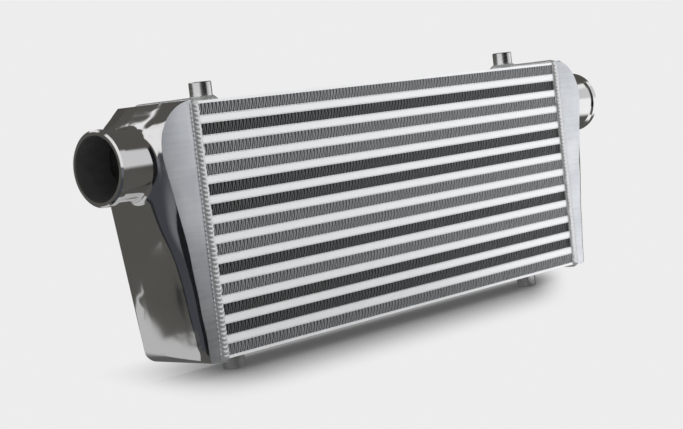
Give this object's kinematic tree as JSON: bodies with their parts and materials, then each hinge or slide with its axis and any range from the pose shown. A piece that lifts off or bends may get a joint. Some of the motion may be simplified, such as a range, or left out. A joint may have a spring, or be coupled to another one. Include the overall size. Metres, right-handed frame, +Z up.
{
  "type": "intercooler",
  "caption": "Charge-air cooler with a brazed core of folded air fins between flat bars, and a cast tank with a hose spigot at each end.",
  "frame": {"origin": "on the surface under the lower bosses' end faces, below the middle of the core", "axes": "+X along the core from the left tank to the right tank, +Y through the core from the front face to the rear face, +Z up"},
  "size_m": [0.7232, 0.0814, 0.265],
  "materials": {
    "air_fins": "bare rolled strip",
    "parting_sheets": "bare rolled sheet",
    "face_bars": "brushed",
    "side_plates": "brushed",
    "end_tanks": "polished end wall, brushed front and rear",
    "weld_beads": "rippled weld",
    "bosses": "turned"
  },
  "bodies": {
    "root": {"air_fin_01": "air_fins", "air_fin_02": "air_fins", "air_fin_03": "air_fins", "air_fin_04": "air_fins", "air_fin_05": "air_fins", "air_fin_06": "air_fins", "air_fin_07": "air_fins", "air_fin_08": "air_fins", "air_fin_09": "air_fins", "air_fin_10": "air_fins", "air_fin_11": "air_fins", "air_fin_12": "air_fins", "air_fin_13": "air_fins", "bottom_left_boss": "bosses", "bottom_right_boss": "bosses", "bottom_side_plate": "side_plates", "charge_channel_01": "parting_sheets", "charge_channel_02": "parting_sheets", "charge_channel_03": "parting_sheets", "charge_channel_04": "parting_sheets", "charge_channel_05": "parting_sheets", "charge_channel_06": "parting_sheets", "charge_channel_07": "parting_sheets", "charge_channel_08": "parting_sheets", "charge_channel_09": "parting_sheets", "charge_channel_10": "parting_sheets", "charge_channel_11": "parting_sheets", "charge_channel_12": "parting_sheets", "front_bar_01": "face_bars", "front_bar_02": "face_bars", "front_bar_03": "face_bars", "front_bar_04": "face_bars", "front_bar_05": "face_bars", "front_bar_06": "face_bars", "front_bar_07": "face_bars", "front_bar_08": "face_bars", "front_bar_09": "face_bars", "front_bar_10": "face_bars", "front_bar_11": "face_bars", "front_bar_12": "face_bars", "left_end_tank": "end_tanks", "left_tank_weld": "weld_beads", "rear_bar_01": "face_bars", "rear_bar_02": "face_bars", "rear_bar_03": "face_bars", "rear_bar_04": "face_bars", "rear_bar_05": "face_bars", "rear_bar_06": "face_bars", "rear_bar_07": "face_bars", "rear_bar_08": "face_bars", "rear_bar_09": "face_bars", "rear_bar_10": "face_bars", "rear_bar_11": "face_bars", "rear_bar_12": "face_bars", "right_end_tank": "end_tanks", "right_tank_weld": "weld_beads", "top_left_boss": "bosses", "top_right_boss": "bosses", "top_side_plate": "side_plates"}
  },
  "joints": []
}
